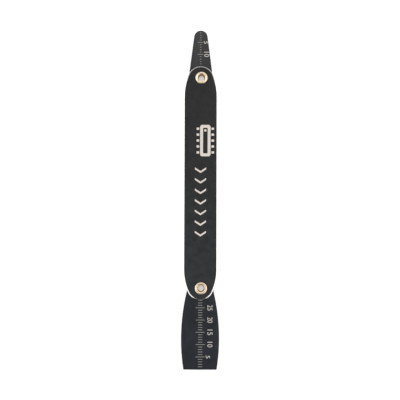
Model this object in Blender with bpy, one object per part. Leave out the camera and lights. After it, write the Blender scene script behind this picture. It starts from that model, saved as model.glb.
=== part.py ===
"""Double-ended spudger for opening electronics.

One stamped strip of spring steel runs from end to end. It makes a narrow round-tipped blade at one end and
a wide square-ended blade at the other. Two handle plates cover its middle, one on each face, and two brass
eyelets clamp the three layers together.

Frame: +Y runs along the tool towards the narrow blade, +Z is the front face, and the origin is at the
middle of the length and of the width, level with the rear faces of the eyelets.
"""

import math

import bmesh
import bpy
from mathutils import Vector
from mathutils.geometry import intersect_line_sphere_2d, intersect_sphere_sphere_2d

MM = 0.001

# Whole tool
LENGTH = 140.0 * MM

# Handle plates: straight sides, a flank arc at each corner and a small round nose
HANDLE_LENGTH = 96.3 * MM
HANDLE_CENTRE_Y = 6.6 * MM
HANDLE_WIDTH = 14.0 * MM
NOSE_RADIUS = 5.45 * MM
SHOULDER = 12.5 * MM  # from the tip of the nose to where the plate reaches its full width
PLATE_THICKNESS = 1.2 * MM
CHAMFER_WIDTH = 0.36 * MM  # seen from the front
CHAMFER_DEPTH = 0.26 * MM  # down the plate's edge

# Steel strip
STRIP_THICKNESS = 0.4 * MM
TANG_INSET = 0.3 * MM  # how far the hidden tang stays inside the handle plates' outline
NARROW_TIP_RADIUS = 2.8 * MM
NARROW_TAPER = math.radians(7.4)  # each side, away from the centre line
WIDE_END_WIDTH = 13.6 * MM
WIDE_WIDTH = 15.6 * MM
WIDEST_FROM_END = 12.7 * MM

# Eyelets
EYELET_FROM_NOSE = 4.75 * MM
EYELET_OFFSET = 0.3 * MM  # both eyelets sit this far to +X of the centre line
FRONT_BORE = 1.5 * MM  # radius of the bore under the front flange
REAR_BORE = 1.15 * MM  # and above the rear one, because the barrel tapers
BARREL_WALL = 0.2 * MM
HOLE_RADIUS = 1.85 * MM
FLANGE_RADIUS = 2.5 * MM
CROWN_RADIUS = 2.0 * MM  # where the domed front flange is highest
THROAT_DEPTH = 0.35 * MM  # how far the front flange's throat reaches down the bore
MOUTH_RADIUS = 1.55 * MM  # where the flat ring of the rear flange starts
EYELET_PROUD = 0.45 * MM  # how far each flange stands above its plate

LAYER_GAP = 0.05 * MM  # between neighbouring layers, and under each flange

# Heights of the layers, from the rear faces of the eyelets up
REAR_PLATE_BOTTOM = EYELET_PROUD
REAR_PLATE_TOP = REAR_PLATE_BOTTOM + PLATE_THICKNESS
STRIP_BOTTOM = REAR_PLATE_TOP + LAYER_GAP
STRIP_TOP = STRIP_BOTTOM + STRIP_THICKNESS
FRONT_PLATE_BOTTOM = STRIP_TOP + LAYER_GAP
FRONT_PLATE_TOP = FRONT_PLATE_BOTTOM + PLATE_THICKNESS
TOOL_TOP = FRONT_PLATE_TOP + EYELET_PROUD

# Steps in each round stretch
NOSE_STEPS = 14
FLANK_STEPS = 10
TIP_STEPS = 14
WIDE_STEPS = 20
EYELET_SIDES = 48
ROLL_STEPS = 6

HALF_WIDTH = HANDLE_WIDTH / 2
HALF_HANDLE = HANDLE_LENGTH / 2
# The flank arc touches the straight side and the nose arc, which fixes its radius.
FLANK_LENGTH = SHOULDER - NOSE_RADIUS
FLANK_RADIUS = (HALF_WIDTH**2 + FLANK_LENGTH**2 - NOSE_RADIUS**2) / (2 * (HALF_WIDTH - NOSE_RADIUS))
FLANK_CENTRE_X = HALF_WIDTH - FLANK_RADIUS
EYELET_YS = {
    "narrow_end": HANDLE_CENTRE_Y + HALF_HANDLE - EYELET_FROM_NOSE,
    "wide_end": HANDLE_CENTRE_Y - HALF_HANDLE + EYELET_FROM_NOSE,
}


def clear_scene():
    for item in list(bpy.data.objects):
        bpy.data.objects.remove(item)


def material(name, colour, roughness, metallic):
    made = bpy.data.materials.new(name)
    made.use_nodes = True
    shader = made.node_tree.nodes["Principled BSDF"]
    shader.inputs["Base Color"].default_value = (*colour, 1.0)
    shader.inputs["Roughness"].default_value = roughness
    shader.inputs["Metallic"].default_value = metallic
    return made


def new_object(name, mesh_maker, look=None):
    """An object whose mesh comes from a bmesh, with its normals facing out."""
    bmesh.ops.recalc_face_normals(mesh_maker, faces=mesh_maker.faces)
    mesh = bpy.data.meshes.new(name)
    mesh_maker.to_mesh(mesh)
    mesh_maker.free()
    made = bpy.data.objects.new(name, mesh)
    bpy.context.scene.collection.objects.link(made)
    if look:
        mesh.materials.append(look)
    return made


def arc(centre, radius, start, end, steps):
    """Points on a circle from the start angle to the end angle, both ends included."""
    angles = [start + (end - start) * i / steps for i in range(steps + 1)]
    return [Vector((centre.x + radius * math.cos(a), centre.y + radius * math.sin(a))) for a in angles]


def angle_at(centre, point):
    return math.atan2(point.y - centre.y, point.x - centre.x)


def flank_centre(end):
    """Centre of the +X flank arc at the handle's narrow-blade end (end=1) or wide-blade end (end=-1)."""
    return Vector((FLANK_CENTRE_X, HANDLE_CENTRE_Y + end * (HALF_HANDLE - SHOULDER)))


def mirrored(right_side):
    """A closed outline from its +X side, which runs from the -Y end to the +Y end."""
    left_side = [Vector((-p.x, p.y)) for p in reversed(right_side) if p.x > 0]
    return right_side + left_side


def handle_outline(inset=0.0):
    """The outline of both handle plates, moved inwards by inset."""
    nose_centre = Vector((0.0, HANDLE_CENTRE_Y + HALF_HANDLE - NOSE_RADIUS))
    upper_flank = flank_centre(1)
    join = angle_at(upper_flank, nose_centre)
    nose = arc(nose_centre, NOSE_RADIUS - inset, join, math.pi / 2, NOSE_STEPS)
    nose[-1].x = 0.0
    upper = arc(upper_flank, FLANK_RADIUS - inset, 0.0, join, FLANK_STEPS) + nose[1:]
    lower = [Vector((p.x, 2 * HANDLE_CENTRE_Y - p.y)) for p in reversed(upper)]
    return mirrored(lower + upper)


def strip_outline():
    """The steel strip: the wide blade, the tang under the handle plates, and the narrow blade."""
    tang_radius = FLANK_RADIUS - TANG_INSET
    lower_flank = flank_centre(-1)
    upper_flank = flank_centre(1)

    half_end = WIDE_END_WIDTH / 2
    bulge = WIDE_WIDTH / 2 - half_end
    wide_radius = (WIDEST_FROM_END**2 + bulge**2) / (2 * bulge)
    wide_centre = Vector((WIDE_WIDTH / 2 - wide_radius, WIDEST_FROM_END - LENGTH / 2))
    crossings = intersect_sphere_sphere_2d(wide_centre, wide_radius, lower_flank, tang_radius)
    waist = max(crossings, key=lambda p: p.x)
    wide_start = angle_at(wide_centre, Vector((half_end, -LENGTH / 2)))
    wide_side = arc(wide_centre, wide_radius, wide_start, angle_at(wide_centre, waist), WIDE_STEPS)

    tip_centre = Vector((0.0, LENGTH / 2 - NARROW_TIP_RADIUS))
    tip = arc(tip_centre, NARROW_TIP_RADIUS, NARROW_TAPER, math.pi / 2, TIP_STEPS)
    tip[-1].x = 0.0
    down_the_side = Vector((math.sin(NARROW_TAPER), -math.cos(NARROW_TAPER)))
    far_point = tip[0] + down_the_side * HALF_HANDLE
    crossings = intersect_line_sphere_2d(tip[0], far_point, upper_flank, tang_radius)
    root = min((p for p in crossings if p), key=lambda p: (p - tip[0]).length)

    lower_tang = arc(lower_flank, tang_radius, angle_at(lower_flank, waist), 0.0, FLANK_STEPS)
    upper_tang = arc(upper_flank, tang_radius, 0.0, angle_at(upper_flank, root), FLANK_STEPS)
    return mirrored(wide_side + lower_tang[1:] + upper_tang + tip)


def slab(name, outline, bottom, top, look):
    """A flat solid of constant thickness, from its outline."""
    maker = bmesh.new()
    base = maker.faces.new([maker.verts.new((p.x, p.y, bottom)) for p in outline])
    raised = bmesh.ops.extrude_face_region(maker, geom=[base])["geom"]
    corners = [item for item in raised if isinstance(item, bmesh.types.BMVert)]
    bmesh.ops.translate(maker, verts=corners, vec=(0.0, 0.0, top - bottom))
    return new_object(name, maker, look)


def handle_plate(name, inner_height, outwards, look):
    """A plate whose outer face, chamfered all round, looks towards +Z (outwards=1) or -Z (outwards=-1)."""
    steps = [(0.0, 0.0), (0.0, PLATE_THICKNESS - CHAMFER_DEPTH), (CHAMFER_WIDTH, PLATE_THICKNESS)]
    maker = bmesh.new()
    rings = [
        [maker.verts.new((p.x, p.y, inner_height + outwards * depth)) for p in handle_outline(inset)]
        for inset, depth in steps
    ]
    for near, far in zip(rings, rings[1:]):
        for i, corner in enumerate(near):
            maker.faces.new((near[i - 1], corner, far[i], far[i - 1]))
    maker.faces.new(rings[0])
    maker.faces.new(rings[-1])
    return new_object(name, maker, look)


def hole_cutters():
    """One round cutter per eyelet, long enough to pass through every layer."""
    cutters = []
    for end, y in EYELET_YS.items():
        maker = bmesh.new()
        bmesh.ops.create_cone(
            maker,
            cap_ends=True,
            segments=EYELET_SIDES,
            radius1=HOLE_RADIUS,
            radius2=HOLE_RADIUS,
            depth=2 * TOOL_TOP,
        )
        cutter = new_object(f"{end}_hole_cutter", maker)
        cutter.location = (EYELET_OFFSET, y, TOOL_TOP / 2)
        cutter.hide_render = True
        cutter.display_type = "WIRE"
        cutters.append(cutter)
    return cutters


def drill(plate, cutters):
    for cutter in cutters:
        cut = plate.modifiers.new(cutter.name, "BOOLEAN")
        cut.operation = "DIFFERENCE"
        cut.solver = "EXACT"
        cut.object = cutter


def quarter(centre, reach, start):
    """Points on a clockwise quarter of an ellipse in (radius, height), from the start angle on."""
    angles = [start - math.pi / 2 * i / ROLL_STEPS for i in range(ROLL_STEPS + 1)]
    return [Vector((centre[0] + reach[0] * math.cos(a), centre[1] + reach[1] * math.sin(a))) for a in angles]


def eyelet_profile():
    """(radius, height) points round an eyelet's section: a domed front flange and a flat-rolled rear one."""
    rise = EYELET_PROUD - LAYER_GAP
    throat_reach = (CROWN_RADIUS - FRONT_BORE, THROAT_DEPTH)
    throat = quarter((CROWN_RADIUS, TOOL_TOP - THROAT_DEPTH), throat_reach, math.pi)
    dome = quarter((CROWN_RADIUS, TOOL_TOP - rise), (FLANGE_RADIUS - CROWN_RADIUS, rise), math.pi / 2)
    front = throat + dome[1:] + [Vector((FRONT_BORE + BARREL_WALL, TOOL_TOP - rise))]

    flare = MOUTH_RADIUS - REAR_BORE
    mouth = quarter((MOUTH_RADIUS, -flare), (flare, flare), math.pi)
    rim = quarter((FLANGE_RADIUS - rise, -rise), (rise, rise), math.pi / 2)
    rear = mouth + rim + [Vector((REAR_BORE + BARREL_WALL, -rise))]
    return front + [Vector((p.x, -p.y)) for p in reversed(rear)]


def eyelet(name, y, look):
    """A hollow brass rivet with a rolled flange on both faces, turned about its own axis."""
    maker = bmesh.new()
    corners = [maker.verts.new((p.x, 0.0, p.y)) for p in eyelet_profile()]
    edges = [maker.edges.new((a, b)) for a, b in zip(corners, corners[1:] + corners[:1])]
    bmesh.ops.spin(
        maker,
        geom=corners + edges,
        cent=(0.0, 0.0, 0.0),
        axis=(0.0, 0.0, 1.0),
        angle=2 * math.pi,
        steps=EYELET_SIDES,
        use_merge=True,
    )
    bmesh.ops.remove_doubles(maker, verts=maker.verts, dist=0.001 * MM)
    made = new_object(name, maker, look)
    made.data.shade_smooth()
    made.data.set_sharp_from_angle(angle=math.radians(40))
    made.location = (EYELET_OFFSET, y, 0.0)
    return made


def main():
    clear_scene()
    cutters = hole_cutters()

    front_black = material("black_anodised_front", (0.030, 0.031, 0.032), 0.5, 0.0)
    rear_black = material("black_anodised_rear", (0.030, 0.031, 0.032), 0.5, 0.0)
    front_plate = handle_plate("front_handle_plate", FRONT_PLATE_BOTTOM, 1, front_black)
    rear_plate = handle_plate("rear_handle_plate", REAR_PLATE_TOP, -1, rear_black)
    strip = slab(
        "blade_strip",
        strip_outline(),
        STRIP_BOTTOM,
        STRIP_TOP,
        material("blackened_steel", (0.035, 0.037, 0.042), 0.4, 0.8),
    )
    for layer in (front_plate, rear_plate, strip):
        drill(layer, cutters)

    for end, y in EYELET_YS.items():
        eyelet(f"{end}_eyelet", y, material(f"{end}_brass", (0.80, 0.56, 0.28), 0.25, 1.0))


main()
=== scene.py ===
"""Looks of the double-ended spudger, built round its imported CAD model.

The handle plates, the steel strip and the two brass rivets are rebuilt with fine edges in the places of
their CAD nodes. The laser-etched scales and the generic handle marks are added on top of them.
"""

import math

import bmesh
import bpy
from mathutils import Matrix, Vector
from mathutils.geometry import intersect_line_sphere_2d, intersect_sphere_sphere_2d


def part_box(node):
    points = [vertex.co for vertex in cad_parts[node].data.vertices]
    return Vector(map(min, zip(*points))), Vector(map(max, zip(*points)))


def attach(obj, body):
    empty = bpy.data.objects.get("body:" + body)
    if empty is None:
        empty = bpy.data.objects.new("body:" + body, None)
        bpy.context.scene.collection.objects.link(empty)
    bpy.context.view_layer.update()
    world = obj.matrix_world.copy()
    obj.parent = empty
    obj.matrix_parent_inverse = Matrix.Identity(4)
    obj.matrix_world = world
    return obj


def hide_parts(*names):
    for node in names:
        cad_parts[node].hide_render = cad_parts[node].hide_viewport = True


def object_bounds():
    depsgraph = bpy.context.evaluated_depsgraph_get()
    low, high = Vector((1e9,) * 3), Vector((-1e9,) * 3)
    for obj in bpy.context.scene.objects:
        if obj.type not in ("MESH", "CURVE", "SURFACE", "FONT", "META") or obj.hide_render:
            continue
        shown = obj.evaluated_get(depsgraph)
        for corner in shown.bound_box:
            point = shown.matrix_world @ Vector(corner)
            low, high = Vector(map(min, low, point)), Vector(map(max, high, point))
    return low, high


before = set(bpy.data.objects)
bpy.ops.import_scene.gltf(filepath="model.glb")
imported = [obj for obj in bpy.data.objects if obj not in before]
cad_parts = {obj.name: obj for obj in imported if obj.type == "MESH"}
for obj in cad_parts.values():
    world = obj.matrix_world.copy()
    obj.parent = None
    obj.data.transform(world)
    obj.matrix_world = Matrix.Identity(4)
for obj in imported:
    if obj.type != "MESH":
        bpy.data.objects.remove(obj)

CAD_LOW, CAD_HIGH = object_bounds()
MM = 0.001
BODY = "root"

# ---------------------------------------------------------------- sizes, all in metres
FRONT_LOW, FRONT_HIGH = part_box("front_handle_plate")
REAR_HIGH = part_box("rear_handle_plate")[1]
STRIP_LOW, STRIP_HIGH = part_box("blade_strip")
RIVET_BOXES = {end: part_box(f"{end}_eyelet") for end in ("narrow_end", "wide_end")}

HALF_WIDTH = FRONT_HIGH.x
HALF_HANDLE = (FRONT_HIGH.y - FRONT_LOW.y) / 2
HANDLE_CENTRE_Y = (FRONT_HIGH.y + FRONT_LOW.y) / 2
PLATE_THICKNESS = FRONT_HIGH.z - FRONT_LOW.z
NOSE_RADIUS = 5.45 * MM
SHOULDER = 12.5 * MM  # from the tip of the nose to where the plate reaches its full width
CHAMFER_WIDTH = 0.36 * MM
CHAMFER_DEPTH = 0.26 * MM
FLANK_LENGTH = SHOULDER - NOSE_RADIUS
FLANK_RADIUS = (HALF_WIDTH**2 + FLANK_LENGTH**2 - NOSE_RADIUS**2) / (2 * (HALF_WIDTH - NOSE_RADIUS))
HOLE_RADIUS = 1.85 * MM
HOLE_SIDES = 96
BACK_EDGE = 0.08 * MM  # rounding of a plate's edge towards the strip
CHAMFER_EDGE = 0.05 * MM  # rounding of both edges of the chamfer
BACK_MARGIN = 0.6 * MM  # width of the modelled rim on a plate's back
FACE_MARGIN = 0.4 * MM  # and on its face, inside the chamfer

TANG_INSET = 0.3 * MM  # how far the hidden tang stays inside the plates' outline
NARROW_TIP_RADIUS = 2.8 * MM
NARROW_TAPER = math.radians(7.4)
WIDE_HALF_END = 6.8 * MM
WIDEST_FROM_END = 12.7 * MM
STRIP_EDGE = 0.06 * MM  # rounding of the stamped edges

FRONT_BORE = 1.5 * MM  # radius of the bore under the front head
REAR_BORE = 1.15 * MM  # and above the rear one, because the barrel tapers
BARREL_WALL = 0.2 * MM
CROWN_RADIUS = 2.0 * MM  # where the front head is highest
THROAT_DEPTH = 0.35 * MM  # how far the front head's throat reaches down the bore
BORE_EDGE = 0.05 * MM  # how far past the front bore's radius the painted shade reaches
MOUTH_RADIUS = 1.55 * MM  # where the flat ring of the rear head starts
EYELET_PROUD = RIVET_BOXES["narrow_end"][1].z - FRONT_HIGH.z
LAYER_GAP = FRONT_LOW.z - STRIP_HIGH.z

MARK_PROUD = 0.012 * MM  # how far a mark stands above its surface
MARK_SUNK = 0.03 * MM  # and how far it reaches below
WIDE_ZERO = 0.2 * MM  # the wide blade's scale starts this far inside its end

CHIP_CENTRE = Vector((1.95 * MM, HANDLE_CENTRE_Y + 17.3 * MM))
CHIP_WIDTH = 4.3 * MM
CHIP_LENGTH = 13.0 * MM
CHIP_LINE = 1.2 * MM
CHIP_OUTER_CORNER = 0.9 * MM
CHIP_INNER_CORNER = 0.35 * MM
PINS = 5  # on each side
PIN_PITCH = 2.45 * MM
PIN_GAP = 0.35 * MM
PIN_LENGTH = 1.1 * MM
PIN_WIDTH = 0.95 * MM
PIN_CORNER = 0.15 * MM
DOT_RADIUS = 0.5 * MM
DOT_FROM_END = 2.3 * MM
DOT_SIDES = 32

CHEVRONS = 7
CHEVRON_PITCH = 4.35 * MM
CHEVRON_HALF_SPAN = 2.3 * MM
CHEVRON_DEPTH = 1.5 * MM
CHEVRON_LINE = 0.8 * MM
FIRST_CHEVRON_Y = HANDLE_CENTRE_Y + 6.2 * MM

SHARP_ANGLE = 30  # degrees between faces, above which their edge is sharp
NOISE_RANGE = (0.3, 0.7)  # nearly all of a noise texture lies in it

# ---------------------------------------------------------------- studio, in metres and watts
FLOOR_GAP = 0.02 * MM
FLOOR_HALF_SIZE = 12.0
FLOOR_GLOW = 0.5
ROOM_COLOUR = (0.98, 0.98, 1.0, 1.0)
ROOM_STRENGTH = (0.06, 0.5)  # towards -Y and towards +Y
ROOM_SPAN = (-0.6, 0.6)  # the Y directions between which it changes
SOFTBOXES = (
    # name, place, the point it faces, width and height, power
    ("right_softbox", (0.85, -0.5, 0.42), (0.0, -0.5, 0.0), (2.1, 1.0), 12.0),
    ("left_softbox", (-0.85, -0.5, 0.42), (0.0, -0.5, 0.0), (2.1, 1.0), 11.0),
    ("far_softbox", (0.0, 0.55, 0.95), (0.0, 0.0, 0.0), (0.9, 0.5), 3.0),
)


# ---------------------------------------------------------------- outlines
def arc(centre, radius, start, end, steps):
    """Points on a circle from the start angle to the end angle, both ends included."""
    angles = [start + (end - start) * i / steps for i in range(steps + 1)]
    return [Vector((centre.x + radius * math.cos(a), centre.y + radius * math.sin(a))) for a in angles]


def angle_at(centre, point):
    return math.atan2(point.y - centre.y, point.x - centre.x)


def flank_centre(end):
    """Centre of the +X flank arc at the handle's narrow-blade end (end=1) or wide-blade end (end=-1)."""
    return Vector((HALF_WIDTH - FLANK_RADIUS, HANDLE_CENTRE_Y + end * (HALF_HANDLE - SHOULDER)))


def mirrored(right_side):
    """A closed outline from its +X side, which runs from the -Y end to the +Y end."""
    left_side = [Vector((-p.x, p.y)) for p in reversed(right_side) if p.x > 0]
    return right_side + left_side


def handle_outline(inset=0.0, nose_steps=40, flank_steps=24, side_steps=16):
    """The handle plates' outline, moved inwards by inset."""
    nose_centre = Vector((0.0, HANDLE_CENTRE_Y + HALF_HANDLE - NOSE_RADIUS))
    upper_flank = flank_centre(1)
    join = angle_at(upper_flank, nose_centre)
    upper = arc(upper_flank, FLANK_RADIUS - inset, 0.0, join, flank_steps)
    upper += arc(nose_centre, NOSE_RADIUS - inset, join, math.pi / 2, nose_steps)[1:]
    upper[-1].x = 0.0
    lower = [Vector((p.x, 2 * HANDLE_CENTRE_Y - p.y)) for p in reversed(upper)]
    side = [lower[-1].lerp(upper[0], i / side_steps) for i in range(1, side_steps)]
    return mirrored(lower + side + upper)


def strip_outline(tip_steps=40, wide_steps=80, flank_steps=24):
    """The steel strip: the wide blade, the tang under the handle plates, and the narrow blade."""
    tang_radius = FLANK_RADIUS - TANG_INSET
    lower_flank = flank_centre(-1)
    upper_flank = flank_centre(1)

    bulge = STRIP_HIGH.x - WIDE_HALF_END
    wide_radius = (WIDEST_FROM_END**2 + bulge**2) / (2 * bulge)
    wide_centre = Vector((STRIP_HIGH.x - wide_radius, STRIP_LOW.y + WIDEST_FROM_END))
    crossings = intersect_sphere_sphere_2d(wide_centre, wide_radius, lower_flank, tang_radius)
    waist = max(crossings, key=lambda p: p.x)
    wide_start = angle_at(wide_centre, Vector((WIDE_HALF_END, STRIP_LOW.y)))
    wide_side = arc(wide_centre, wide_radius, wide_start, angle_at(wide_centre, waist), wide_steps)

    tip_centre = Vector((0.0, STRIP_HIGH.y - NARROW_TIP_RADIUS))
    tip = arc(tip_centre, NARROW_TIP_RADIUS, NARROW_TAPER, math.pi / 2, tip_steps)
    tip[-1].x = 0.0
    down_the_side = Vector((math.sin(NARROW_TAPER), -math.cos(NARROW_TAPER)))
    far_point = tip[0] + down_the_side * HALF_HANDLE
    crossings = intersect_line_sphere_2d(tip[0], far_point, upper_flank, tang_radius)
    root = min((p for p in crossings if p), key=lambda p: (p - tip[0]).length)

    lower_tang = arc(lower_flank, tang_radius, angle_at(lower_flank, waist), 0.0, flank_steps)
    upper_tang = arc(upper_flank, tang_radius, 0.0, angle_at(upper_flank, root), flank_steps)
    return mirrored(wide_side + lower_tang[1:] + upper_tang + tip)


def rounded(corners, steps=4):
    """An open line through (a, b, radius) corners, each rounded with its own radius."""
    line = []
    for i, (a, b, radius) in enumerate(corners):
        here = Vector((a, b))
        if radius == 0:
            line.append(here)
            continue
        back = (Vector(corners[i - 1][:2]) - here).normalized()
        ahead = (Vector(corners[i + 1][:2]) - here).normalized()
        half_angle = back.angle(ahead) / 2
        reach = radius / math.tan(half_angle)
        centre = here + (back + ahead).normalized() * (radius / math.sin(half_angle))
        first = here + back * reach - centre
        last = here + ahead * reach - centre
        turn = first.angle_signed(last)
        line += [centre + Matrix.Rotation(-turn * s / steps, 2) @ first for s in range(steps + 1)]
    return line


# ---------------------------------------------------------------- meshes
def new_piece(name, maker, looks, sharp=SHARP_ANGLE):
    """An object on the tool's body whose mesh comes from a bmesh, smooth but for its sharp edges."""
    bmesh.ops.recalc_face_normals(maker, faces=maker.faces)
    mesh = bpy.data.meshes.new(name)
    maker.to_mesh(mesh)
    maker.free()
    for look in looks:
        mesh.materials.append(look)
    mesh.shade_smooth()
    mesh.set_sharp_from_angle(angle=math.radians(sharp))
    piece = bpy.data.objects.new(name, mesh)
    bpy.context.scene.collection.objects.link(piece)
    return piece


def skin(maker, rings):
    """Makes quads between neighbouring closed rings of vertices, and gives back the faces of each band."""
    bands = []
    for low, high in zip(rings, rings[1:]):
        quads = zip(low, low[1:] + low[:1], high[1:] + high[:1], high)
        bands.append([maker.faces.new(quad) for quad in quads])
    return bands


def drill(piece):
    """Cuts the two rivet holes through a flat piece."""
    cutters = []
    for low, high in RIVET_BOXES.values():
        maker = bmesh.new()
        bmesh.ops.create_cone(
            maker,
            cap_ends=True,
            segments=HOLE_SIDES,
            radius1=HOLE_RADIUS,
            radius2=HOLE_RADIUS,
            depth=3 * high.z,
        )
        bmesh.ops.translate(maker, verts=maker.verts, vec=(low + high) / 2)
        mesh = bpy.data.meshes.new("cutter")
        maker.to_mesh(mesh)
        maker.free()
        cutter = bpy.data.objects.new("cutter", mesh)
        bpy.context.scene.collection.objects.link(cutter)
        cut = piece.modifiers.new("hole", "BOOLEAN")
        cut.operation = "DIFFERENCE"
        cut.solver = "EXACT"
        cut.object = cutter
        cutters.append(cutter)
    graph = bpy.context.evaluated_depsgraph_get()
    drilled = bpy.data.meshes.new_from_object(piece.evaluated_get(graph), depsgraph=graph)
    piece.modifiers.clear()
    piece.data = drilled
    drilled.set_sharp_from_angle(angle=math.radians(SHARP_ANGLE))
    for cutter in cutters:
        bpy.data.objects.remove(cutter)


def handle_plate(name, node, inner_z, outwards, looks):
    """One handle plate, chamfered round the face that looks towards +Z (outwards=1) or -Z (outwards=-1)."""
    wall_top = PLATE_THICKNESS - CHAMFER_DEPTH
    line = rounded(
        [
            (BACK_MARGIN, 0.0, 0),
            (0.0, 0.0, BACK_EDGE),
            (0.0, wall_top, CHAMFER_EDGE),
            (CHAMFER_WIDTH, PLATE_THICKNESS, CHAMFER_EDGE),
            (CHAMFER_WIDTH + FACE_MARGIN, PLATE_THICKNESS, 0),
        ]
    )
    maker = bmesh.new()
    rings = [
        [maker.verts.new((p.x, p.y, inner_z + outwards * height)) for p in handle_outline(inset)]
        for inset, height in line
    ]
    bands = skin(maker, rings)
    for (low, high), band in zip(zip(line, line[1:]), bands):
        middle = (low + high) / 2
        if middle.y > wall_top and middle.x < CHAMFER_WIDTH:
            for face in band:
                face.material_index = 1
    maker.faces.new(rings[0])
    maker.faces.new(rings[-1])
    plate = new_piece(name, maker, looks)
    drill(plate)
    return finish_piece(plate, node)


def finish_piece(piece, node):
    """Puts a piece on the tool's body, in place of a CAD node if it stands for one."""
    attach(piece, BODY)
    if node:
        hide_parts(node)
    return piece


def steel_strip(look):
    """The steel strip with its stamped edges rounded."""
    maker = bmesh.new()
    base = maker.faces.new([maker.verts.new((p.x, p.y, STRIP_LOW.z)) for p in strip_outline()])
    raised = bmesh.ops.extrude_face_region(maker, geom=[base])["geom"]
    corners = [item for item in raised if isinstance(item, bmesh.types.BMVert)]
    bmesh.ops.translate(maker, verts=corners, vec=(0.0, 0.0, STRIP_HIGH.z - STRIP_LOW.z))
    level = [e for e in maker.edges if abs(e.verts[0].co.z - e.verts[1].co.z) < LAYER_GAP]
    bmesh.ops.bevel(maker, geom=level, offset=STRIP_EDGE, segments=3, profile=0.5, affect="EDGES")
    strip = new_piece("steel_strip", maker, [look])
    drill(strip)
    return finish_piece(strip, "blade_strip")


def ellipse_quarter(centre, reach, start, steps=12):
    """Points on a clockwise quarter of an ellipse in (radius, height), from the start angle on."""
    angles = [start - math.pi / 2 * i / steps for i in range(steps + 1)]
    return [
        Vector((centre[0] + reach[0] * math.cos(a), centre[1] + reach[1] * math.sin(a)))
        for a in angles
    ]


def rivet_profile(flange_radius, top):
    """(radius, height) points round a rivet's section: domed head in front, flatter rolled one behind."""
    rise = EYELET_PROUD - LAYER_GAP
    throat_reach = (CROWN_RADIUS - FRONT_BORE, THROAT_DEPTH)
    throat = ellipse_quarter((CROWN_RADIUS, top - THROAT_DEPTH), throat_reach, math.pi)
    dome = ellipse_quarter((CROWN_RADIUS, top - rise), (flange_radius - CROWN_RADIUS, rise), math.pi / 2)
    front = throat + dome[1:] + [Vector((FRONT_BORE + BARREL_WALL, top - rise))]

    flare = MOUTH_RADIUS - REAR_BORE
    mouth = ellipse_quarter((MOUTH_RADIUS, -flare), (flare, flare), math.pi)
    rim = ellipse_quarter((flange_radius - rise, -rise), (rise, rise), math.pi / 2)
    rear = mouth + rim + [Vector((REAR_BORE + BARREL_WALL, -rise))]
    return front + [Vector((p.x, -p.y)) for p in reversed(rear)]


def rivet(end, looks, sides=128):
    """A hollow brass rivet, turned about its own axis."""
    low, high = RIVET_BOXES[end]
    turns = [(math.cos(2 * math.pi * i / sides), math.sin(2 * math.pi * i / sides)) for i in range(sides)]
    maker = bmesh.new()
    rings = [
        [maker.verts.new((p.x * across, p.x * along, p.y)) for across, along in turns]
        for p in rivet_profile((high.x - low.x) / 2, high.z)
    ]
    for band in skin(maker, rings + rings[:1]):
        # Faces inside the front bore and its throat get the dark brown brass, which is painted shade in the
        # bore.
        if all(v.co.xy.length < FRONT_BORE + BORE_EDGE for v in band[0].verts):
            for face in band:
                face.material_index = 1
    piece = new_piece(f"{end}_rivet", maker, looks, sharp=50)
    piece.location.xy = ((low + high) / 2).xy
    return finish_piece(piece, f"{end}_eyelet")


# ---------------------------------------------------------------- etched marks
def add_mark(maker, outline, surface):
    """A thin closed inlay of this outline, set in a surface at this height."""
    base = maker.faces.new([maker.verts.new((x, y, surface - MARK_SUNK)) for x, y in outline])
    raised = bmesh.ops.extrude_face_region(maker, geom=[base])["geom"]
    corners = [item for item in raised if isinstance(item, bmesh.types.BMVert)]
    bmesh.ops.translate(maker, verts=corners, vec=(0.0, 0.0, MARK_SUNK + MARK_PROUD))


def add_ring(maker, outer, inner, surface):
    """A thin closed inlay between two outlines with the same number of points."""
    rings = [
        [maker.verts.new((x, y, z)) for x, y in outline]
        for outline, z in (
            (outer, surface - MARK_SUNK),
            (outer, surface + MARK_PROUD),
            (inner, surface + MARK_PROUD),
            (inner, surface - MARK_SUNK),
        )
    ]
    skin(maker, rings + rings[:1])


def stroke(start, end, width, steps=5):
    """Outline of a round-ended line from start to end."""
    along = Vector(end) - Vector(start)
    heading = math.atan2(along.y, along.x)
    points = arc(Vector(end), width / 2, heading - math.pi / 2, heading + math.pi / 2, steps)
    return points + arc(Vector(start), width / 2, heading + math.pi / 2, heading + 3 * math.pi / 2, steps)


def box_outline(centre, size, radius, steps=6):
    """Outline of a rectangle with rounded corners."""
    points = []
    for turn, (sx, sy) in enumerate(((1, 1), (-1, 1), (-1, -1), (1, -1))):
        corner = Vector((centre[0] + sx * (size[0] / 2 - radius), centre[1] + sy * (size[1] / 2 - radius)))
        points += arc(corner, radius, math.pi / 2 * turn, math.pi / 2 * (turn + 1), steps)
    return points


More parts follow.
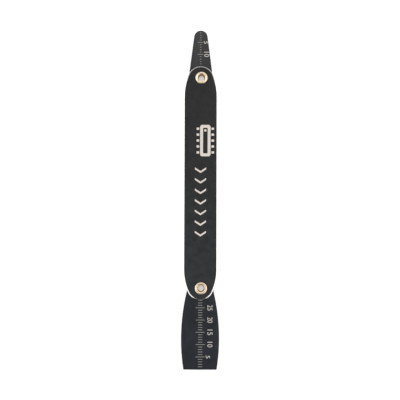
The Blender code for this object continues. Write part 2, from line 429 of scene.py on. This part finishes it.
def add_numeral(maker, text, across, middle_y, length, surface):
    """Digits that read towards -Y with their tops towards +X.

    They reach from across[0] to across[1] along X, and are this length along Y, centred on middle_y.
    """
    curve = bpy.data.curves.new("numeral", "FONT")
    curve.body = text
    curve.extrude = 0.1  # any depth: the digits are fitted to their box below
    curve.resolution_u = 6
    holder = bpy.data.objects.new("numeral", curve)
    bpy.context.scene.collection.objects.link(holder)
    bpy.context.view_layer.update()
    graph = bpy.context.evaluated_depsgraph_get()
    mesh = bpy.data.meshes.new_from_object(holder.evaluated_get(graph), depsgraph=graph)
    bpy.data.objects.remove(holder)
    digits = bmesh.new()
    digits.from_mesh(mesh)
    bpy.data.meshes.remove(mesh)
    bmesh.ops.remove_doubles(digits, verts=digits.verts, dist=1e-5)
    low = [min(v.co[i] for v in digits.verts) for i in range(3)]
    high = [max(v.co[i] for v in digits.verts) for i in range(3)]
    for v in digits.verts:
        u, w, h = ((v.co[i] - low[i]) / (high[i] - low[i]) for i in range(3))
        v.co = (
            across[0] + w * (across[1] - across[0]),
            middle_y + (0.5 - u) * length,
            surface - MARK_SUNK + h * (MARK_SUNK + MARK_PROUD),
        )
    for face in digits.faces:
        face.material_index = 1
    placed = bpy.data.meshes.new("placed")
    digits.to_mesh(placed)
    digits.free()
    maker.from_mesh(placed)
    bpy.data.meshes.remove(placed)


def scale(name, zero_y, away, count, minor, major, line_width, numerals, looks):
    """A millimetre scale that runs from zero_y towards +Y (away=1) or -Y (away=-1).

    minor and major are the X reach of a tick and of each fifth tick, and each numeral is
    (figure, its X reach, its length).
    """
    maker = bmesh.new()
    for n in range(1, count + 1):
        left, right = major if n % 5 == 0 else minor
        y = zero_y + away * n * MM
        add_mark(maker, stroke((left, y), (right, y), line_width), STRIP_HIGH.z)
    for n, across, length in numerals:
        add_numeral(maker, str(n), across, zero_y + away * n * MM, length, STRIP_HIGH.z)
    return finish_piece(new_piece(name, maker, looks), None)


def blade_scales(looks):
    two_digits = (2.98 * MM, 5.1 * MM)
    scale(
        "wide_blade_scale",
        zero_y=STRIP_LOW.y + WIDE_ZERO,
        away=1,
        count=28,
        minor=(-0.76 * MM, 0.86 * MM),
        major=(-1.7 * MM, 1.84 * MM),
        line_width=0.2 * MM,
        numerals=[(5, (2.35 * MM, 4.05 * MM), 1.15 * MM)]
        + [(n, two_digits, 2.2 * MM) for n in (10, 15, 20, 25)],
        looks=looks,
    )
    scale(
        "narrow_blade_scale",
        zero_y=STRIP_HIGH.y,
        away=-1,
        count=14,
        minor=(-0.36 * MM, 0.2 * MM),
        major=(-1.2 * MM, 0.92 * MM),
        line_width=0.18 * MM,
        numerals=[(5, (1.3 * MM, 2.95 * MM), 1.1 * MM), (10, (1.4 * MM, 3.4 * MM), 2.1 * MM)],
        looks=looks,
    )


def chip_pictogram(look):
    """A generic outline of an electronic chip seen from above, etched on the handle."""
    maker = bmesh.new()
    surface = FRONT_HIGH.z
    outer = box_outline(CHIP_CENTRE, (CHIP_WIDTH, CHIP_LENGTH), CHIP_OUTER_CORNER)
    inner_size = (CHIP_WIDTH - 2 * CHIP_LINE, CHIP_LENGTH - 2 * CHIP_LINE)
    inner = box_outline(CHIP_CENTRE, inner_size, CHIP_INNER_CORNER)
    add_ring(maker, outer, inner, surface)
    for side in (-1, 1):
        x = CHIP_CENTRE.x + side * (CHIP_WIDTH / 2 + PIN_GAP + PIN_LENGTH / 2)
        for i in range(PINS):
            y = CHIP_CENTRE.y + (i - (PINS - 1) / 2) * PIN_PITCH
            add_mark(maker, box_outline((x, y), (PIN_LENGTH, PIN_WIDTH), PIN_CORNER), surface)
    dot = Vector((CHIP_CENTRE.x, CHIP_CENTRE.y + CHIP_LENGTH / 2 - DOT_FROM_END))
    last_angle = 2 * math.pi * (DOT_SIDES - 1) / DOT_SIDES
    add_mark(maker, arc(dot, DOT_RADIUS, 0.0, last_angle, DOT_SIDES - 1), surface)
    return finish_piece(new_piece("chip_pictogram", maker, [look]), None)


def chevron_band(look):
    """A row of plain chevrons that points towards the wide blade, etched along the handle."""
    maker = bmesh.new()
    for i in range(CHEVRONS):
        y = FIRST_CHEVRON_Y - i * CHEVRON_PITCH
        outline = [
            (-CHEVRON_HALF_SPAN, y),
            (0.0, y - CHEVRON_DEPTH),
            (CHEVRON_HALF_SPAN, y),
            (CHEVRON_HALF_SPAN, y - CHEVRON_LINE),
            (0.0, y - CHEVRON_DEPTH - CHEVRON_LINE),
            (-CHEVRON_HALF_SPAN, y - CHEVRON_LINE),
        ]
        add_mark(maker, outline, FRONT_HIGH.z)
    return finish_piece(new_piece("chevron_band", maker, [look]), None)


# ---------------------------------------------------------------- materials
def new_material(name, metallic, specular=0.5):
    """A material, its node tree and its shader."""
    made = bpy.data.materials.new(name)
    made.use_nodes = True
    shader = made.node_tree.nodes["Principled BSDF"]
    shader.inputs["Metallic"].default_value = metallic
    shader.inputs["Specular IOR Level"].default_value = specular
    return made, made.node_tree, shader


def noise(tree, size, detail=3.0, stretch=(1.0, 1.0, 1.0)):
    """Noise in the object's own space, with features about this many metres across, times stretch."""
    place = tree.nodes.new("ShaderNodeTexCoord")
    fit = tree.nodes.new("ShaderNodeMapping")
    fit.inputs["Scale"].default_value = [1.0 / (size * s) for s in stretch]
    made = tree.nodes.new("ShaderNodeTexNoise")
    made.inputs["Scale"].default_value = 1.0
    made.inputs["Detail"].default_value = detail
    tree.links.new(place.outputs["Object"], fit.inputs["Vector"])
    tree.links.new(fit.outputs["Vector"], made.inputs["Vector"])
    return made.outputs["Fac"]


def span(tree, value, low, high, source=NOISE_RANGE):
    """A value between low and high as another runs over source."""
    made = tree.nodes.new("ShaderNodeMapRange")
    made.inputs["From Min"].default_value = source[0]
    made.inputs["From Max"].default_value = source[1]
    made.inputs["To Min"].default_value = low
    made.inputs["To Max"].default_value = high
    tree.links.new(value, made.inputs["Value"])
    return made.outputs["Result"]


def blend(tree, value, first, second):
    """A colour between first and second as a noise runs over its range."""
    made = tree.nodes.new("ShaderNodeValToRGB")
    made.color_ramp.elements[0].position = NOISE_RANGE[0]
    made.color_ramp.elements[0].color = (*first, 1.0)
    made.color_ramp.elements[1].position = NOISE_RANGE[1]
    made.color_ramp.elements[1].color = (*second, 1.0)
    tree.links.new(value, made.inputs["Fac"])
    return made.outputs["Color"]


def mix(tree, share, first, second):
    """A colour between first (share 0) and second (share 1)."""
    made = tree.nodes.new("ShaderNodeMixRGB")
    tree.links.new(share, made.inputs["Fac"])
    tree.links.new(first, made.inputs["Color1"])
    tree.links.new(second, made.inputs["Color2"])
    return made.outputs["Color"]


def along_tool(tree, start, end):
    """A value that runs from 0 to 1 as Y runs from start to end."""
    place = tree.nodes.new("ShaderNodeTexCoord")
    axes = tree.nodes.new("ShaderNodeSeparateXYZ")
    tree.links.new(place.outputs["Object"], axes.inputs["Vector"])
    return span(tree, axes.outputs["Y"], 0.0, 1.0, (start, end))


def weighted(tree, first, second, share):
    """The sum of share of the first value and the rest of the second."""
    total = tree.nodes.new("ShaderNodeMath")
    total.operation = "ADD"
    for value, amount, socket in ((first, share, total.inputs[0]), (second, 1.0 - share, total.inputs[1])):
        part = tree.nodes.new("ShaderNodeMath")
        part.operation = "MULTIPLY"
        part.inputs[1].default_value = amount
        tree.links.new(value, part.inputs[0])
        tree.links.new(part.outputs["Value"], socket)
    return total.outputs["Value"]


def bump(tree, shader, height, distance):
    made = tree.nodes.new("ShaderNodeBump")
    made.inputs["Distance"].default_value = distance
    tree.links.new(height, made.inputs["Height"])
    tree.links.new(made.outputs["Normal"], shader.inputs["Normal"])


def anodised_look():
    """Fine-blasted black anodising: a soft mottle, a grainy surface and a patchy sheen, with painted shade
    towards the narrow blade and a painted bluish sheen towards the wide blade.
    """
    made, tree, shader = new_material("black_anodising", 0.0, 0.25)
    mottle = noise(tree, 2.5 * MM, 4.0)
    grain = noise(tree, 0.16 * MM, 2.0)
    tone = weighted(tree, mottle, grain, 0.6)
    # Painted shade and sheen: the plate is darker towards the narrow blade and lighter and bluer towards
    # the wide blade.
    upper = blend(tree, tone, (0.008, 0.008, 0.008), (0.018, 0.018, 0.017))
    lower = blend(tree, tone, (0.016, 0.017, 0.018), (0.034, 0.036, 0.038))
    colour = mix(tree, along_tool(tree, FRONT_HIGH.y, FRONT_LOW.y), upper, lower)
    tree.links.new(colour, shader.inputs["Base Color"])
    tree.links.new(span(tree, tone, 0.38, 0.58), shader.inputs["Roughness"])
    bump(tree, shader, grain, 0.02 * MM)
    return made


def bright_cut_look():
    """Bare aluminium left by the tool that cut the chamfer, with fine lines along its path."""
    made, tree, shader = new_material("bright_cut_aluminium", 1.0)
    lines = noise(tree, 0.08 * MM, 2.0, (1.0, 12.0, 1.0))
    stain = noise(tree, 3.0 * MM, 3.0)
    colour = blend(tree, stain, (0.66, 0.62, 0.60), (0.76, 0.73, 0.71))
    tree.links.new(colour, shader.inputs["Base Color"])
    tree.links.new(span(tree, lines, 0.2, 0.34), shader.inputs["Roughness"])
    bump(tree, shader, lines, 0.004 * MM)
    return made


def steel_look():
    """Thin black coating over rolled spring steel: rolling lines show through it along the strip, and a
    painted bluish sheen lies towards the wide blade.
    """
    made, tree, shader = new_material("black_coated_steel", 0.0, 0.35)
    rolling = noise(tree, 0.15 * MM, 3.0, (1.0, 40.0, 1.0))
    cloud = noise(tree, 4.0 * MM, 4.0)
    tone = weighted(tree, rolling, cloud, 0.4)
    plain = blend(tree, tone, (0.012, 0.012, 0.012), (0.022, 0.021, 0.021))
    # Painted sheen: the strip turns bluer towards the wide blade.
    painted_cool_sheen = blend(tree, tone, (0.012, 0.014, 0.018), (0.020, 0.023, 0.031))
    colour = mix(tree, along_tool(tree, STRIP_HIGH.y, STRIP_LOW.y), plain, painted_cool_sheen)
    tree.links.new(colour, shader.inputs["Base Color"])
    tree.links.new(span(tree, tone, 0.32, 0.46), shader.inputs["Roughness"])
    bump(tree, shader, rolling, 0.003 * MM)
    return made


def brass_look(name, dark, light, roughness):
    """Rolled brass with faint turning rings and a little tarnish, between a dark and a light colour; the
    bore's dark browns are painted shade.
    """
    made, tree, shader = new_material(name, 1.0)
    tarnish = noise(tree, 0.8 * MM, 4.0)
    colour = blend(tree, tarnish, dark, light)
    tree.links.new(colour, shader.inputs["Base Color"])
    tree.links.new(span(tree, tarnish, roughness[1], roughness[0]), shader.inputs["Roughness"])
    place = tree.nodes.new("ShaderNodeTexCoord")
    rings = tree.nodes.new("ShaderNodeTexWave")
    rings.wave_type = "RINGS"
    rings.rings_direction = "Z"
    rings.inputs["Scale"].default_value = 1.0 / (0.9 * MM)
    rings.inputs["Distortion"].default_value = 0.6
    tree.links.new(place.outputs["Object"], rings.inputs["Vector"])
    bump(tree, shader, rings.outputs["Fac"], 0.002 * MM)
    return made


def etched_look(name, dark, light):
    """Pale, slightly pitted surface that a marking laser leaves."""
    made, tree, shader = new_material(name, 0.0, 0.3)
    pits = noise(tree, 0.12 * MM, 3.0)
    tree.links.new(blend(tree, pits, dark, light), shader.inputs["Base Color"])
    tree.links.new(span(tree, pits, 0.7, 0.5), shader.inputs["Roughness"])
    bump(tree, shader, pits, 0.006 * MM)
    return made


def floor_look():
    """Pale backlit sweep with a hint of fibre."""
    made, tree, shader = new_material("pale_paper", 0.0, 0.1)
    shader.inputs["Roughness"].default_value = 0.9
    fibre = noise(tree, 1.5 * MM, 3.0)
    tree.links.new(blend(tree, fibre, (0.86, 0.86, 0.86), (0.88, 0.88, 0.88)), shader.inputs["Base Color"])
    shader.inputs["Emission Color"].default_value = (1.0, 1.0, 1.0, 1.0)
    shader.inputs["Emission Strength"].default_value = FLOOR_GLOW
    return made


# ---------------------------------------------------------------- studio
def floor():
    maker = bmesh.new()
    bmesh.ops.create_grid(maker, x_segments=1, y_segments=1, size=FLOOR_HALF_SIZE)
    mesh = bpy.data.meshes.new("floor")
    maker.to_mesh(mesh)
    maker.free()
    mesh.materials.append(floor_look())
    made = bpy.data.objects.new("floor", mesh)
    bpy.context.scene.collection.objects.link(made)
    made.location.z = CAD_LOW.z - FLOOR_GAP


def softbox(name, location, target, size, power):
    lamp = bpy.data.lights.new(name, "AREA")
    lamp.shape = "RECTANGLE"
    lamp.size, lamp.size_y = size
    lamp.energy = power
    made = bpy.data.objects.new(name, lamp)
    bpy.context.scene.collection.objects.link(made)
    made.location = location
    made.rotation_euler = (Vector(target) - Vector(location)).to_track_quat("-Z", "Y").to_euler()
    made.visible_camera = False


def studio():
    """A room that is brighter past the narrow blade, with a softbox on each side and one past that end."""
    world = bpy.data.worlds.new("studio")
    world.use_nodes = True
    tree = world.node_tree
    background = tree.nodes["Background"]
    background.inputs["Color"].default_value = ROOM_COLOUR
    place = tree.nodes.new("ShaderNodeTexCoord")
    axes = tree.nodes.new("ShaderNodeSeparateXYZ")
    tree.links.new(place.outputs["Generated"], axes.inputs["Vector"])
    strength = span(tree, axes.outputs["Y"], *ROOM_STRENGTH, ROOM_SPAN)
    tree.links.new(strength, background.inputs["Strength"])
    bpy.context.scene.world = world
    bpy.context.scene.view_settings.view_transform = "Standard"
    for box in SOFTBOXES:
        softbox(*box)


def camera():
    """Looks almost straight down, from a little nearer the wide blade."""
    distance = 0.380
    tilt = math.radians(2.75)
    roll = math.radians(0.17)
    focal_ratio = 2.3045  # focal length as a share of the image's width
    target = Vector((-0.00018, -0.00057, STRIP_HIGH.z))
    data = bpy.data.cameras.new("camera")
    data.sensor_width = 36.0
    data.lens = focal_ratio * data.sensor_width
    data.clip_start = 0.01
    made = bpy.data.objects.new("camera", data)
    bpy.context.scene.collection.objects.link(made)
    made.location = target + distance * Vector((0.0, -math.sin(tilt), math.cos(tilt)))
    made.rotation_euler = (Matrix.Rotation(tilt, 3, "X") @ Matrix.Rotation(roll, 3, "Z")).to_euler()
    bpy.context.scene.camera = made


def main():
    camera()
    studio()
    floor()

    anodised = anodised_look()
    bright_cut = bright_cut_look()
    steel = steel_look()
    brass = brass_look("bright_brass", (0.90, 0.70, 0.45), (0.99, 0.85, 0.63), (0.34, 0.42))
    # Dark brown brass for the inside of the bores: painted shade.
    bore = brass_look("shade_painted_bore_brass", (0.30, 0.16, 0.07), (0.46, 0.28, 0.14), (0.4, 0.5))
    handle_etch = etched_look("etched_aluminium", (0.62, 0.56, 0.50), (0.80, 0.74, 0.67))
    fine_etch = etched_look("etched_steel", (0.27, 0.27, 0.26), (0.36, 0.36, 0.35))
    bold_etch = etched_look("deep_etched_steel", (0.50, 0.47, 0.43), (0.64, 0.60, 0.56))

    handle_plate("front_plate", "front_handle_plate", FRONT_LOW.z, 1, [anodised, bright_cut])
    handle_plate("rear_plate", "rear_handle_plate", REAR_HIGH.z, -1, [anodised, bright_cut])
    steel_strip(steel)
    for end in RIVET_BOXES:
        rivet(end, [brass, bore])

    blade_scales([fine_etch, bold_etch])
    chip_pictogram(handle_etch)
    chevron_band(handle_etch)


main()
